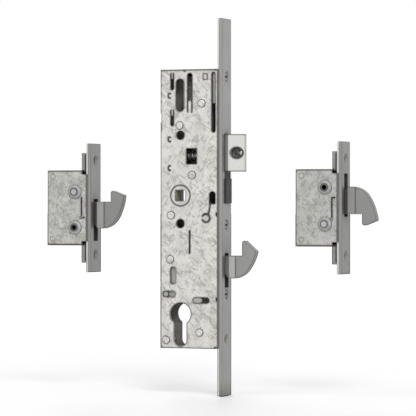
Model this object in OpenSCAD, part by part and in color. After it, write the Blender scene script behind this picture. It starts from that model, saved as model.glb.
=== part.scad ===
// Multipoint door lock: centre gearbox with an upper and a lower hook case, in millimetres.
// X runs from the case back to the faceplate front, Y across the case, Z up.
// The origin is the spindle axis at the middle of the case.

/* [Faceplates] */
// Distance from the faceplate front to the spindle and cylinder axis
backset = 35; // [32:0.5:45]
// Width of the faceplates
faceplate_w = 20; // [19:0.5:24]
// Thickness of the faceplates
faceplate_t = 2.5; // [2.3:0.1:4]
// Top of the centre faceplate above the spindle
centre_plate_top = 137; // [125:1:160]
// Bottom of the centre faceplate below the spindle
centre_plate_bottom = 155; // [140:1:180]
// Length of the faceplate of a hook case
hook_plate_len = 101; // [96:1:130]
// Diameter of the screw holes in the faceplates
screw_hole_d = 5.2; // [4.8:0.1:5.6]
// Diameter of the countersinks
countersink_d = 9; // [8.4:0.1:10]
// Distance between the two screw holes of a hook case
hook_screw_pitch = 74; // [70:1:80]

/* [Drive rail] */
// Thickness of the drive rails
rail_t = 1.6; // [1.4:0.1:2.6]
// Width of the drive rails
rail_w = 18; // [17:0.5:18.5]
// Free play on each side of a sliding rail
rail_play = 0.1; // [0.05:0.05:0.2]

/* [Cases] */
// Thickness of the cases
case_t = 18; // [17.5:0.5:19]
// Sheet thickness of trays and covers
sheet = 1.5; // [1.2:0.1:1.6]
// Distance of the gearbox back edge behind the spindle
gearbox_back = 17; // [16.5:0.5:24]
// Top of the gearbox case above the spindle
gearbox_top = 98; // [97.5:0.5:104]
// Sheet left standing below the cylinder cutout
cylinder_margin = 1.25; // [1:0.25:6]
// Depth of a hook case behind its faceplate front
hook_case_depth = 38; // [37:0.5:44]
// Height of a hook case
hook_case_h = 59; // [57:1:66]

/* [Spindle and cylinder] */
// Distance from the spindle to the cylinder axis
centres = 92; // [90:0.5:93]
// Side of the square spindle hole
spindle_sq = 8.2; // [7:0.1:8.6]
// Diameter of the hub where it turns in the case
hub_journal_d = 16; // [15:0.5:17]
// Diameter of the hub inside the case
hub_d = 22; // [20:0.5:23]
// Distance from the spindle axis to the drive pin on the hub arm
hub_arm = 24.5; // [23.8:0.1:24.8]
// Angle that the handle turns the hub
hub_turn = 45; // [40:1:46]
// Radius of the round part of the cylinder cutout
cylinder_r = 8.75; // [8.5:0.05:9]
// Width of the tail of the cylinder cutout
cylinder_slot_w = 10.6; // [10.2:0.1:11]
// Total height of the cylinder cutout
cylinder_h = 34; // [33.2:0.1:34.2]
// Depth of the cylinder fixing screw below the cylinder axis
cylinder_screw_drop = 19.5; // [18:0.5:20]
// Diameter of the handle fixing holes through the case
handle_hole_d = 6.8; // [6:0.1:7]
// Height of the upper handle fixing hole above the spindle
handle_hole_top = 46.8; // [46:0.1:48]
// Depth of the lower handle fixing hole below the spindle
handle_hole_bottom = 21.8; // [21:0.1:23]

/* [Latch] */
// Height of the middle of the latch above the spindle
latch_z = 33; // [32.5:0.1:33.5]
// Height of the latch bolt
latch_h = 29; // [26:0.5:29.5]
// Width of the latch bolt
latch_w = 9.4; // [8.6:0.1:11.5]
// How far the latch stands out of the faceplate
latch_throw = 14.5; // [12:0.5:14.5]
// Hole drilled into the bevel of the latch bolt
latch_hole_d = 8.8; // [6:0.2:9]

/* [Hooks] */
// Thickness of the hook blades
hook_t = 8; // [7:0.2:8.2]
// Reach of the hooks in front of the faceplate
hook_reach = 25; // [22:0.5:26]
// Depth of the hook throat in front of the faceplate
hook_throat = 14; // [12:0.5:15]
// Angle that a hook swings into its case
hook_swing = 68; // [66:1:70]
// Diameter of the hook pivots
hook_pivot_d = 5; // [4:0.1:5.4]
// Depth of the centre hook pivot below the spindle
centre_hook_drop = 36; // [35:0.1:36.5]

/* [Layout] */
// Distance from the centre gearbox to the upper hook case
upper_shift = 110; // [105:1:140]
// Distance from the centre gearbox to the lower hook case
lower_shift = 97; // [94:1:130]
// Depth of the middle of the hook cases below the spindle
side_drop = 9.5; // [5:0.5:20]

/* [Hidden] */
$fn = 48;

// Overcut that lets a cut pass through a face
eps = 1;
// Play between a shaft and its hole, on the diameter
run_play = 0.1;
// Gap between pieces that pass each other
gap = 0.3;

// Planes along X
plate_back = backset - faceplate_t;
rail_front = plate_back - rail_play;
rail_back = rail_front - rail_t;
case_front = rail_back - rail_play;
front_inner = case_front - sheet;
back_inner = -gearbox_back + sheet;
// Bottom of the gearbox case below the spindle
gearbox_bottom = centres + cylinder_h - cylinder_r + cylinder_margin;

// A cover leaves this much of the tray's folded edge in view
cover_inset = 0.7;

// Planes across the case
half_t = case_t / 2;
inner_y = half_t - sheet;
plate_layer_t = 2;
// The sliding plates run in one layer next to the tray's wall
layer_far = inner_y - gap;
layer_near = layer_far - plate_layer_t;
// Bolts and levers run between the cover and that layer
bolt_far = layer_near - gap;

// The hub arm swings half of its turn to each side of level
arm_angle = hub_turn / 2;
travel = 2 * hub_arm * sin(arm_angle);
drive_pin_d = 4;

function polar(r, a) = [r * cos(a), r * sin(a)];

// Solid over a rectangle in X and Z, between two places in Y
module block(x0, x1, y0, y1, z0, z1) {
    translate([x0, y0, z0]) cube([x1 - x0, y1 - y0, z1 - z0]);
}

// Round bar along Y
module bar_y(x, z, d, y0, y1) {
    translate([x, y1, z]) rotate([90, 0, 0]) cylinder(d = d, h = y1 - y0);
}

// Round bar along X
module bar_x(y, z, d, x0, x1) {
    translate([x0, y, z]) rotate([0, 90, 0]) cylinder(d = d, h = x1 - x0);
}

// Outline drawn in X and Z, thickened between two places in Y
module prism_y(y0, y1) {
    translate([0, y1, 0]) rotate([90, 0, 0]) linear_extrude(y1 - y0) children();
}

// Slot with round ends, as an outline between two points on one line
module slot_outline(x0, z0, x1, z1, w) {
    length = norm([x1 - x0, z1 - z0]);
    translate([x0, z0]) rotate(atan2(z1 - z0, x1 - x0)) {
        translate([0, -w / 2]) square([length, w]);
        circle(d = w);
        translate([length, 0]) circle(d = w);
    }
}

// Upright slot given by its middle, its width and its two ends
module upright_slot(x, w, z_top, z_bottom) {
    slot_outline(x, z_bottom + w / 2, x, z_top - w / 2, w);
}

// Level slot given by its middle, its height and its two ends
module level_slot(z, h, x_left, x_right) {
    slot_outline(x_left + h / 2, z, x_right - h / 2, z, h);
}

// Cover plate as an outline, with round corners along its back edge
module cover_outline(x_back, x_front, z_bottom, z_top) {
    r = 1.8;
    translate([x_back + r, z_bottom]) square([x_front - x_back - r, z_top - z_bottom]);
    translate([x_back, z_bottom + r]) square([r, z_top - z_bottom - 2 * r]);
    for (z = [z_bottom + r, z_top - r]) translate([x_back + r, z]) circle(r = r);
}

// Slot in a plate that lies across X, for a pin along X
module plate_slot(z_bottom, z_top, w, x0, x1, y = 0) {
    block(x0, x1, y - w / 2, y + w / 2, z_bottom, z_top);
    for (z = [z_bottom, z_top]) bar_x(y, z, w, x0, x1);
}

// Screw hole with its countersink, from the faceplate front
module countersunk_hole(z) {
    bar_x(0, z, screw_hole_d, plate_back - eps, backset + eps);
    sink = (countersink_d - screw_hole_d) / 2;
    translate([backset - sink, 0, z]) rotate([0, 90, 0])
        cylinder(d1 = screw_hole_d, d2 = countersink_d + 2 * eps, h = sink + eps);
}

// Wound spring

spring_steps = 8;
spring_sides = 6;

// Point of a coil along Z after a number of turns
function coil_point(turns, pitch, r, i) =
    [r * cos(360 * i / spring_steps), r * sin(360 * i / spring_steps), pitch * i / spring_steps];

// Least distance between the middles of wire that lie at least half a turn apart
function coil_least(points) = min([
    for (i = [0:len(points) - 1]) for (j = [i + spring_steps / 2 + 1:1:len(points) - 1])
        norm(points[i] - points[j])
]);

// One unbroken wire wound along Z from the height 0, filling the length
module coil(length, r, wire, turns) {
    pitch = (length - wire) / turns;
    count = turns * spring_steps;
    centre = [for (i = [0:count]) coil_point(turns, pitch, r, i)];
    echo(spring_gap = coil_least(centre) - wire);
    // The wire's ring leans with the coil
    lean = atan2(pitch, 2 * PI * r);
    points = [
        for (i = [0:count]) for (k = [0:spring_sides - 1])
            let (a = 360 * i / spring_steps, b = 360 * k / spring_sides)
            let (out = wire / 2 * cos(b), up = wire / 2 * sin(b))
            centre[i] + [
                out * cos(a) + up * sin(lean) * sin(a),
                out * sin(a) - up * sin(lean) * cos(a),
                up * cos(lean) + wire / 2
            ]
    ];
    n = spring_sides;
    sides = [
        for (i = [0:count - 1]) for (k = [0:n - 1]) for (half = [0, 1])
            let (p = i * n + k, q = i * n + (k + 1) % n)
            half == 0 ? [p, p + n, q] : [q, p + n, q + n]
    ];
    first = [for (k = [1:n - 2]) [0, k, k + 1]];
    last = [for (k = [1:n - 2]) [count * n, count * n + k + 1, count * n + k]];
    polyhedron(points = points, faces = concat(sides, first, last), convexity = 10);
}

// Hook mechanism, shared by the three modules, drawn about the hook pivot

// Sizes of one hook: how far its pivot lies behind the faceplate front, how far its throat lies
// below the pivot, and the angles where its outer arc starts, bends in to the heel and ends
centre_setback = 9.5;
centre_throat_drop = 10.8;
centre_arc = [-12, -40, -67];
side_setback = 14;
side_throat_drop = 7.7;
side_arc = [-4, -34, -59];
// Share of its radius that the outer arc loses at the heel
hook_heel = 0.15;
hook_boss_d = 10.4;
cam_pin_d = 4;
cam_play = 0.3;

function hook_radius(setback, arc) = (setback + hook_reach) / cos(arc[0]);

// Radius of the outer arc at an angle: even at first, then less and less down to the heel
function hook_edge(r, arc, a) = r * (1 - hook_heel * pow(max(0, (arc[1] - a) / (arc[1] - arc[2])), 2));

// Outline of a hook about its pivot: the arm, the throat, the tip, the outer arc and the heel
module hook_outline(setback, throat_drop, arc, arm_x) {
    r = hook_radius(setback, arc);
    throat_x = setback + hook_throat;
    arc_steps = 16;
    angles = [for (i = [0:arc_steps]) arc[0] + (arc[2] - arc[0]) * i / arc_steps];
    edge = [for (a = angles) polar(hook_edge(r, arc, a), a)];
    tip_r = 1.6;
    tip = [throat_x + tip_r, -0.8];
    circle(d = hook_boss_d);
    polygon(concat(
        [[0, hook_boss_d / 2 - 0.6], [arm_x - 1, -throat_drop + 6], [arm_x, -throat_drop]],
        [[throat_x, -throat_drop], [throat_x, tip[1]]],
        [[tip[0] + tip_r * sin(25), tip[1] + tip_r * cos(25)]],
        edge,
        [[-hook_boss_d / 2 + 1, -4]]
    ));
    translate(tip) circle(r = tip_r);
}

// A hook about its pivot, with its cam pin and pivot bore; the blade is thinner in front of the step
module hook_body(setback, throat_drop, arc, arm_x, pin_r, pin_a) {
    blade_step = 1;
    step_x = setback + 8.5;
    difference() {
        prism_y(-hook_t / 2, hook_t / 2) hook_outline(setback, throat_drop, arc, arm_x);
        bar_y(0, 0, hook_pivot_d + run_play, -case_t, case_t);
        block(step_x, step_x + 2 * hook_reach, -case_t, -hook_t / 2 + blade_step, -60, 20);
        block(step_x, step_x + 2 * hook_reach, hook_t / 2 - blade_step, case_t, -60, 20);
    }
    pin = polar(pin_r, pin_a);
    bar_y(pin[0], pin[1], cam_pin_d, hook_t / 2 - 0.5, layer_far);
}

// Path of the cam pin in the sliding plate, for a share of the swing from 0 to 1
function cam_point(pin_r, pin_a, share) =
    polar(pin_r, pin_a - hook_swing * share) + [0, travel * share];

// Cam slot that the pin follows, about the hook pivot: the two sides of the pin's path, round at both ends
module cam_outline(pin_r, pin_a) {
    w = cam_pin_d / 2 + cam_play;
    steps = 10;
    end_steps = 6;
    path = [for (i = [0:steps]) cam_point(pin_r, pin_a, i / steps)];
    function heading(i) =
        let (d = path[min(i + 1, steps)] - path[max(i - 1, 0)]) atan2(d[1], d[0]);
    left = [for (i = [0:steps]) path[i] + polar(w, heading(i) + 90)];
    far_end = [for (k = [1:end_steps - 1]) path[steps] + polar(w, heading(steps) + 90 - 180 * k / end_steps)];
    right = [for (i = [steps:-1:0]) path[i] + polar(w, heading(i) - 90)];
    near_end = [for (k = [1:end_steps - 1]) path[0] + polar(w, heading(0) - 90 - 180 * k / end_steps)];
    polygon(concat(left, far_end, right, near_end));
}

// Opening for a hook in a plate across X; the heights are about the spindle
module hook_opening(z_bottom, z_top, x0, x1) {
    w = hook_t + 2 * gap;
    block(x0, x1, -w / 2, w / 2, z_bottom, z_top);
}

// Lowest height that a hook reaches at a plane behind the faceplate front, about its pivot
function hook_sweep(setback, arc, x) =
    sqrt(pow(hook_radius(setback, arc), 2) - pow(setback + x - backset, 2));

// Centre gearbox

// Screws: below the case top, beside the lower handle hole and above the cylinder
top_screw_inset = 6;
low_screw_rise = 15.5;
screw_heights = [gearbox_top - top_screw_inset, -handle_hole_bottom - 1, -centres + low_screw_rise];
cylinder_screw_z = -centres - cylinder_screw_drop;
spacer_d = 7.6;
hook_x = backset - centre_setback;
hook_z = -centre_hook_drop;
centre_arm_x = 5.6;
centre_pin_r = 9;
centre_pin_a = -97;
hook_slot_top = hook_z - centre_throat_drop + 2;
hook_slot_bottom = hook_z - hook_sweep(centre_setback, centre_arc, front_inner) - gap;

// The latch bolt lies between the cover and the sliding plates
latch_far = bolt_far;
latch_near = latch_far - latch_w;
latch_bottom = latch_z - latch_h / 2;
latch_top = latch_z + latch_h / 2;
latch_head_back = front_inner - 2;
latch_block_back = latch_head_back - 5;
latch_stem_d = 5;
latch_stem_z = latch_z - 2;
latch_mid_y = (latch_near + latch_far) / 2;
latch_stem_end = back_inner + latch_throw + 0.8;
latch_guide_t = 1.6;
latch_guide_x = latch_stem_end + 0.6;

// The sliding carriage
bar_back = front_inner - 7;
bar_front = front_inner - gap;
carriage_top = gearbox_top - sheet - gap;
arm_h = 3;
hub_pin = polar(hub_arm, arm_angle);
lug_heights = [60, -5];
lug_h = 6;
tab_w = 2.6;
// Foot of the tab that shows in the long slot of the cover
tab_foot = 71.5;
tab_h = 14.5;
// Lugs and tabs are set in from the edges and faces of their plate by this much
lug_inset = 0.2;
tab_x = bar_front - tab_w / 2 - lug_inset;
carriage_spring_r = 2.4;
carriage_spring_wire = 0.9;
carriage_spring_turns = 9;
spring_seat_z = handle_hole_top + 13;

rivet_d = 4;
rivet_head_d = 5.4;
rivet_head_h = 0.5;
rivet_places = [
    [-0.6, handle_hole_top + 7.6], [17.6, 71.4], [9.7, 15.8], [-7.8, -15.3], [-8.5, -49.7],
    [15.8, -centres - 14.3], [-11.8, -centres - 20.3]
];

// Deadlock slide: its guide slots in the cover and its free way
slide_z = -centres + cylinder_r + 6.6;
slide_slot_h = 4.6;
slide_way = 5.5;
slide_pin_x = -12.1;
slide_bar_left = 10.5;
slide_bar_right = 18.1;
slide_drop = 4.7;
// Upright tab of the slide behind the oval slot of the cover
slide_tab = [-11, -3, -53];

// Cutout for the cylinder, as an outline
module cylinder_outline() {
    translate([0, -centres]) {
        circle(r = cylinder_r);
        tail = cylinder_h - cylinder_r - cylinder_slot_w / 2;
        translate([-cylinder_slot_w / 2, -tail]) square([cylinder_slot_w, tail]);
        translate([0, -tail]) circle(d = cylinder_slot_w);
    }
}

// Holes that pass through both broad walls of the gearbox
module through_outline() {
    cylinder_outline();
    circle(d = hub_journal_d + run_play);
    translate([0, handle_hole_top]) circle(d = handle_hole_d);
    translate([0, -handle_hole_bottom]) circle(d = handle_hole_d);
    for (p = rivet_places) translate(p) circle(d = rivet_d);
}

module centre_faceplate() {
    color("silver") difference() {
        block(plate_back, backset, -faceplate_w / 2, faceplate_w / 2, -centre_plate_bottom, centre_plate_top);
        for (z = screw_heights) countersunk_hole(z);
        countersunk_hole(cylinder_screw_z);
        block(plate_back - eps, backset + eps, latch_near - gap, latch_far + gap,
            latch_bottom - gap, latch_top + gap);
        block(plate_back - eps, backset + eps, insert_near, insert_far, insert_bottom, latch_bottom);
        hook_opening(hook_slot_bottom, hook_slot_top, plate_back - eps, backset + eps);
    }
}

// Plastic guide below the latch
insert_near = -4.5;
insert_far = 7.5;
insert_bottom = -6;
insert_proud = 1.5;
module latch_insert() {
    neck = 5;
    color("dimgray") union() {
        block(plate_back, backset + insert_proud, insert_near, insert_far, insert_bottom,
            latch_bottom - gap - neck);
        block(plate_back, backset, insert_near + 1.5, insert_far - 1.5,
            latch_bottom - gap - neck, latch_bottom - gap);
    }
}

// Foot of the notch in the folded back edge
fold_notch = 57;
module gearbox_case() {
    color("lightgray") difference() {
        block(-gearbox_back, case_front, -inner_y, half_t, -gearbox_bottom, gearbox_top);
        block(back_inner, front_inner, -half_t, inner_y, -gearbox_bottom + sheet, gearbox_top - sheet);
        prism_y(0, half_t + eps) through_outline();
        for (z = screw_heights) bar_x(0, z, screw_hole_d, front_inner - eps, case_front + eps);
        bar_x(0, cylinder_screw_z, screw_hole_d + 1, front_inner - eps, case_front + eps);
        block(front_inner - eps, case_front + eps, latch_near - gap, latch_far + gap,
            latch_bottom - gap, latch_top + gap);
        hook_opening(hook_slot_bottom, hook_z + hook_boss_d / 2 + 1, front_inner - eps, case_front + eps);
        for (z = lug_heights)
            block(front_inner - eps, case_front + eps, layer_near - gap, layer_far + gap / 2,
                z - travel - gap, z + lug_h + gap);
        // Notches and interlocking tabs of the folded edge
        block(-gearbox_back - eps, -gearbox_back + 0.8, -inner_y - eps, -inner_y + 4,
            fold_notch, fold_notch + 7);
        block(-gearbox_back - eps, back_inner + eps, -inner_y - eps, -inner_y + 3,
            slide_z + 6, slide_z + 10);
        block(case_front - 2.4, case_front + eps, -inner_y - eps, -inner_y + 2,
            gearbox_top - sheet - 1, gearbox_top + eps);
    }
}

// Slots and windows of the gearbox cover; a tongue of the sheet stays standing in some of them
module cover_slots() {
    slot_w = 2.8;
    slit = 0.6;
    tongue_h = 5.2;
    // Two narrow slots, from the top edge down
    narrow_x = -6.8;
    for (d = [[2.2, 16], [30.8, 44]]) difference() {
        upright_slot(narrow_x, slot_w, gearbox_top - d[0], gearbox_top - d[1]);
        translate([narrow_x - slot_w / 2 + slit, gearbox_top - d[0] - tongue_h])
            square([slot_w - 2 * slit, tongue_h + eps]);
    }
    // The wide slot over the spring, the slot with a standing foot and the slot of the carriage lug
    upright_slot(-0.3, 6.8, gearbox_top - 7.4, gearbox_top - 32.8);
    foot_slot = [7.8, gearbox_top - 3, gearbox_top - 34.5];
    difference() {
        upright_slot(foot_slot[0], 4.2, foot_slot[1], foot_slot[2]);
        upright_slot(foot_slot[0], 4.2 - 2 * slit, foot_slot[2] + 2 * tongue_h, foot_slot[2] - slit);
    }
    upright_slot(tab_x, tab_w + slit, gearbox_top - 2.5, tab_foot - travel - 4);
    // Three small windows near the back edge
    window_x = -8.9;
    window_w = 3;
    for (z = [77.6, 43.7, 21.3]) difference() {
        upright_slot(window_x, window_w, z + 2.1, z - 2.1);
        translate([window_x - window_w / 2 + slit, z - 1.4]) square([window_w, 2.8]);
    }
    translate([4.9, 24.4]) square([8.7, 12.1]);
    upright_slot(7.7, 0.9, -27, -45.2);
    upright_slot(-6.1, 4.6, -55.5, -68.9);
    level_slot(slide_z, slide_slot_h, slide_pin_x - 2.6, slide_pin_x + slide_way + 2.6);
    level_slot(slide_z - slide_drop, slide_slot_h, slide_bar_left - 0.2, slide_bar_right + slide_way + 0.4);
    // Opening with a flat foot, a curved slit and a ring around a boss
    foot_x = 26.4;
    foot_w = 5;
    foot_z = -6.5;
    upright_slot(foot_x, foot_w, 3, -4);
    translate([foot_x - foot_w / 2, foot_z]) square([foot_w, 5]);
    ring_at = [21.2, -17.5];
    ring_d = 6.4;
    slit_w = 0.9;
    translate(ring_at) difference() {
        circle(d = ring_d + slit_w);
        circle(d = ring_d - slit_w);
        translate([-ring_d, -1.2]) square([ring_d, 2.4]);
    }
    // The slit bends on its way to the ring
    bend = [[foot_x - 1.6, foot_z + 0.3], [foot_x - 2.2, foot_z - 3.6], ring_at + polar(ring_d / 2, 52)];
    for (i = [0, 1]) slot_outline(bend[i][0], bend[i][1], bend[i + 1][0], bend[i + 1][1], slit_w);
}

// Grooves pressed into the cover: around the rivets, around the hub and as a small square
groove_w = 0.35;
groove_depth = 0.4;
module cover_grooves() {
    translate([0, -half_t + groove_depth, 0]) rotate([90, 0, 0]) linear_extrude(groove_depth + eps) {
        for (p = rivet_places) translate(p) difference() {
            circle(d = rivet_head_d + 2 * groove_w);
            circle(d = rivet_head_d);
        }
        difference() {
            circle(d = hub_journal_d + run_play + 2 * groove_w);
            circle(d = hub_journal_d);
        }
        translate([20.6, gearbox_top - 6]) difference() {
            square([3.8, 4.8], center = true);
            square([3.8 - 2 * groove_w, 4.8 - 2 * groove_w], center = true);
        }
    }
}

module gearbox_cover() {
    color("gainsboro") difference() {
        prism_y(-half_t, -inner_y) difference() {
            cover_outline(-gearbox_back + cover_inset, case_front, -gearbox_bottom,
                gearbox_top - cover_inset);
            through_outline();
            translate([hook_x, hook_z]) circle(d = hook_pivot_d);
            cover_slots();
            // V-notch in the top edge and notches in the front and back edges
            translate([3.5, gearbox_top - cover_inset]) rotate(45) square(2, center = true);
            for (z = [-14.7, -80.6]) translate([case_front, z]) square([2.4, 2.6], center = true);
            for (z = [gearbox_top, -gearbox_bottom])
                translate([case_front - 1, z]) square([3.4, 2.4], center = true);
            translate([-gearbox_back + cover_inset, fold_notch]) square([1, 14], center = true);
            for (i = [0:3]) translate([-gearbox_back + cover_inset, gearbox_top - 6 - 6.4 * i])
                square([1, 2], center = true);
        }
        cover_grooves();
    }
}

module gearbox_rivets() {
    color("silver") for (p = rivet_places) {
        bar_y(p[0], p[1], rivet_d, -half_t, half_t);
        bar_y(p[0], p[1], rivet_head_d, -half_t - rivet_head_h, -half_t);
        bar_y(p[0], p[1], rivet_head_d, half_t, half_t + rivet_head_h);
    }
}

// Opening in a rail for something fixed; the rail slides down past it
module rail_slot(z_bottom, z_top, y0, y1) {
    block(rail_back - eps, rail_front + eps, y0, y1, z_bottom, z_top + travel);
}

module centre_drive_rail() {
    w = spacer_d + 2 * gap;
    color("whitesmoke") difference() {
        block(rail_back, rail_front, -rail_w / 2, rail_w / 2, -centre_plate_bottom, centre_plate_top);
        for (z = concat(screw_heights, [cylinder_screw_z]))
            plate_slot(z, z + travel, w, rail_back - eps, rail_front + eps);
        rail_slot(latch_bottom - gap, latch_top + gap, latch_near - gap, latch_far + gap);
        rail_slot(hook_slot_bottom, hook_z + hook_boss_d / 2 + 1, -hook_t / 2 - gap, hook_t / 2 + gap);
        for (z = lug_heights)
            block(rail_back - eps, rail_front + eps, layer_near, layer_far, z, z + lug_h);
    }
}

// Lug of a sliding plate that reaches through the case front into the rail
module rail_lug(z) {
    block(bar_front - eps, rail_front, layer_near + lug_inset, layer_far - lug_inset, z, z + lug_h);
}

module drive_carriage() {
    slot_w = drive_pin_d + 2 * cam_play;
    color("silver") union() {
        prism_y(layer_near, layer_far) difference() {
            union() {
                translate([bar_back, -50]) square([bar_front - bar_back, carriage_top + 50]);
                translate([hub_pin[0] - 5, hub_pin[1] - 7]) square([bar_front - hub_pin[0] + 5, 14]);
                translate([12.5, -50]) square([bar_front - 12.5, 36]);
                translate([-4.5, carriage_top - arm_h]) square([bar_front + 4.5, arm_h]);
            }
            level_slot(hub_pin[1], slot_w, hub_pin[0] - slot_w / 2, hub_arm + slot_w / 2);
            translate([hook_x, hook_z]) cam_outline(centre_pin_r, centre_pin_a);
        }
        for (z = lug_heights) rail_lug(z);
        // Lugs folded toward the cover, seen in its slots
        block(tab_x - tab_w / 2, tab_x + tab_w / 2, -inner_y + gap, layer_far - lug_inset,
            tab_foot, tab_foot + tab_h);
        // The lug's end stands up beside the cover, clear of the top screw
        block(tab_x - tab_w / 2, tab_x + tab_w / 2, -inner_y + gap, -screw_hole_d / 2 - 2 * gap,
            tab_foot, carriage_top - 1);
        block(-4.5 + lug_inset, 4, layer_near - 6, layer_far - lug_inset,
            carriage_top - arm_h + lug_inset, carriage_top - arm_h + 1.5);
    }
}

// Spring that lifts the carriage again, on its guide rod
module carriage_spring() {
    length = carriage_top - arm_h + lug_inset - spring_seat_z;
    color("lightgray") translate([0, layer_near - 3.2, spring_seat_z])
        coil(length, carriage_spring_r, carriage_spring_wire, carriage_spring_turns);
}

module spindle_hub() {
    arm_t = 3;
    color("darkgray") difference() {
        union() {
            bar_y(0, 0, hub_journal_d, -half_t, half_t);
            bar_y(0, 0, hub_d, -inner_y + gap, inner_y - gap);
            rotate([0, -arm_angle, 0]) {
                block(0, hub_arm, bolt_far - arm_t, bolt_far, -4, 4);
                bar_y(hub_arm, 0, 6.4, bolt_far - arm_t, bolt_far);
                bar_y(hub_arm, 0, drive_pin_d, bolt_far - arm_t, layer_far);
            }
        }
        block(-spindle_sq / 2, spindle_sq / 2, -case_t, case_t, -spindle_sq / 2, spindle_sq / 2);
    }
}

module latch_bolt() {
    bevel_start = backset + 2.8;
    tip_x = backset + latch_throw;
    tip_flat = 2.4;
    color("white") difference() {
        union() {
            translate([0, 0, latch_bottom]) linear_extrude(latch_h) polygon([
                [latch_head_back, latch_near], [bevel_start, latch_near], [tip_x, latch_far - tip_flat],
                [tip_x, latch_far], [latch_head_back, latch_far]
            ]);
            block(latch_block_back, latch_head_back, latch_near, latch_far, latch_z - 11, latch_z + 8);
            bar_x(latch_mid_y, latch_stem_z, latch_stem_d, latch_stem_end, latch_block_back);
        }
        bar_y(backset + 8.2, latch_z, latch_hole_d, -case_t, latch_far - 1.2);
    }
}

// Bracket in the case that carries the latch stem and the spring
module latch_guide() {
    color("silver") difference() {
        block(latch_guide_x, latch_guide_x + latch_guide_t, -inner_y, inner_y,
            latch_stem_z - 7, latch_stem_z + 7);
        bar_x(latch_mid_y, latch_stem_z, latch_stem_d + run_play, -case_t, case_t);
    }
}

latch_spring_r = 3.5;
latch_spring_wire = 0.7;
latch_spring_turns = 6;
module latch_spring() {
    start = latch_guide_x + latch_guide_t;
    color("gainsboro") translate([start, latch_mid_y, latch_stem_z]) rotate([0, 90, 0])
        coil(latch_block_back - start, latch_spring_r, latch_spring_wire, latch_spring_turns);
}

module centre_hook() {
    color("gray") translate([hook_x, 0, hook_z])
        hook_body(centre_setback, centre_throat_drop, centre_arc, centre_arm_x, centre_pin_r, centre_pin_a);
}

// Pivot held in the cover; its far end stops short of the sliding plates
module hook_pivot_pin(x, z) {
    bar_y(x, z, hook_pivot_d, -half_t, bolt_far);
}

module centre_hook_pivot() {
    color("silver") union() {
        hook_pivot_pin(hook_x, hook_z);
        bar_y(hook_x, hook_z, hook_pivot_d + 1.4, -half_t - rivet_head_h, -half_t);
    }
}

// Key-driven slide under the cover; its guides show in the level slots
module deadlock_slide() {
    near = -inner_y + gap;
    far = near + plate_layer_t;
    guide_play = 0.2;
    guide_d = slide_slot_h - 2 * guide_play;
    color("gainsboro") union() {
        block(slide_pin_x - 1.8, slide_bar_right - guide_play, near, far,
            slide_z - slide_drop + 1.5, slide_z + 3);
        block(slide_bar_left - 1, slide_bar_right - guide_play, near, far,
            slide_z - slide_drop - 2.4, slide_z);
        block(slide_tab[0], slide_tab[1], near, far, slide_z, slide_tab[2]);
        bar_y(slide_pin_x, slide_z, guide_d, -half_t, near);
        prism_y(-half_t, near)
            level_slot(slide_z - slide_drop, guide_d, slide_bar_left, slide_bar_right);
    }
}

module csk_screw(z) {
    head = (countersink_d - screw_hole_d) / 2;
    shank_d = screw_hole_d - run_play;
    // The head lies a little below the faceplate front
    sunk = 0.5;
    cross = [2 * sunk + 2.2, 0.9, 4.6];
    difference() {
        union() {
            bar_x(0, z, shank_d, front_inner - 4, backset - head + 0.2);
            translate([backset - head, 0, z]) rotate([0, 90, 0])
                cylinder(d1 = shank_d, d2 = countersink_d - 2 * sunk - 2 * run_play, h = head - sunk);
        }
        for (a = [0, 90]) translate([backset, 0, z]) rotate([a, 0, 0]) cube(cross, center = true);
    }
}

module centre_screws() {
    color("gray") for (z = screw_heights) csk_screw(z);
}

// Round spacer that holds faceplate and case apart inside a rail slot
module spacer(z) {
    difference() {
        bar_x(0, z, spacer_d, case_front, plate_back);
        bar_x(0, z, screw_hole_d, case_front - eps, plate_back + eps);
    }
}

module centre_spacers() {
    color("darkgray") for (z = concat(screw_heights, [cylinder_screw_z])) spacer(z);
}

// Hook cases, drawn about the middle of their height with the hook tip up

side_back = backset - hook_case_depth;
side_top = hook_case_h / 2;
side_pivot_x = backset - side_setback;
// Distances of the hook pivot and the threaded boss from the ends of the case
side_pivot_inset = 17;
side_boss_inset = 14;
side_pivot_z = side_top - side_pivot_inset;
side_boss_z = -side_top + side_boss_inset;
side_arm_x = 9.4;
side_pin_r = 10;
side_pin_a = -69;
side_slot_top = side_pivot_z - side_throat_drop + 2;
side_slot_bottom = side_pivot_z - hook_sweep(side_setback, side_arc, front_inner) - gap;
side_lug_z = side_pivot_z + 2;
// Bosses pressed up as cones around the hook pivot and the threaded hole
side_boss_d = 11.4;
side_boss_top_d = 7.8;
side_boss_rise = 2.3;
side_thread_d = 4.2;
clip_outer = hook_screw_pitch / 2 + 6;
clip_w = 3.8;
side_rivets = [[side_back + 5, side_top - 5], [side_back + 5, -side_top + 5]];
side_rivet_d = 3.4;

// Places a hook case beside the gearbox; the lower one is turned upside down
module at_side(lower) {
    translate([lower ? lower_shift : -upper_shift, 0, -side_drop]) mirror([0, 0, lower ? 1 : 0]) children();
}

module side_faceplate() {
    difference() {
        block(plate_back, backset, -faceplate_w / 2, faceplate_w / 2,
            -hook_plate_len / 2, hook_plate_len / 2);
        for (s = [-1, 1]) countersunk_hole(s * hook_screw_pitch / 2);
        hook_opening(side_slot_bottom, side_slot_top, plate_back - eps, backset + eps);
    }
}

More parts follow.
